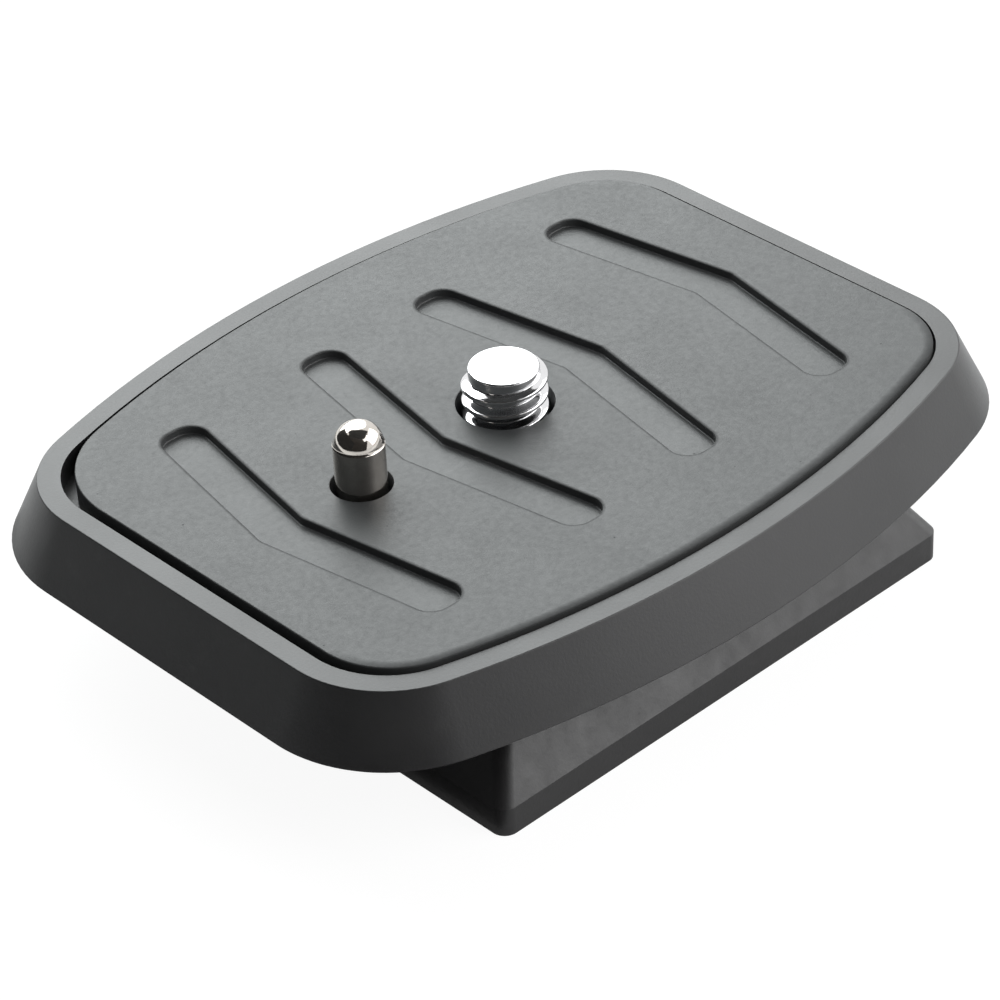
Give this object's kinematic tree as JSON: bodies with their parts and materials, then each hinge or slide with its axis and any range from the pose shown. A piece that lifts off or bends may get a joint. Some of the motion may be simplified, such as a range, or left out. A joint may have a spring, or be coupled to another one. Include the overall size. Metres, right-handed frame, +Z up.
{
  "type": "quick release plate",
  "caption": "Barrel-shaped tripod quick release plate: grooved rubber pad, square dovetail foot, captive camera screw with a folding ring, and a sprung anti-twist pin.",
  "frame": {"origin": "centre of the foot's bottom plane, below the camera screw", "axes": "+X along the plate, with the anti-twist pin on the -X side; +Y across the plate; +Z up, out of the pad"},
  "size_m": [0.0666, 0.0534, 0.0196],
  "materials": {
    "black_plastic": "fine moulded satin",
    "grey_rubber": "matte, slightly dusty",
    "chrome_screw": "polished chrome plate",
    "nickel_pin": "polished nickel plate",
    "plated_wire": "nickel-plated drawn wire",
    "spring_steel": "plain spring steel",
    "zinc_screw": "zinc plate"
  },
  "bodies": {
    "plate": {"plate_body": "black_plastic", "top_pad": "grey_rubber", "pin_cover": "black_plastic", "cover_screws": "zinc_screw", "pin_spring": "spring_steel"},
    "screw_float": {"retaining_clip": "spring_steel"},
    "screw": {"camera_screw": "chrome_screw"},
    "ring": {"d_ring": "plated_wire"},
    "pin": {"video_pin": "nickel_pin"}
  },
  "joints": [
    {"name": "screw_lift", "type": "slide", "parent": "plate", "child": "screw_float", "axis": [0, 0, 1], "range_m": [0, 0.00195]},
    {"name": "screw_turn", "type": "hinge", "parent": "screw_float", "child": "screw", "pos_m": [0, 0, 0.01], "axis": [0, 0, 1], "continuous": true},
    {"name": "ring_fold", "type": "hinge", "parent": "screw", "child": "ring", "pos_m": [0, 0, 0.0038], "axis": [0, 1, 0], "range_deg": [0, 180]},
    {"name": "pin_press", "type": "slide", "parent": "plate", "child": "pin", "axis": [0, 0, 1], "range_m": [-0.00495, 0], "stiffness_N_per_m": 300, "springref_m": 0.003, "deforming": ["pin_spring"]}
  ]
}
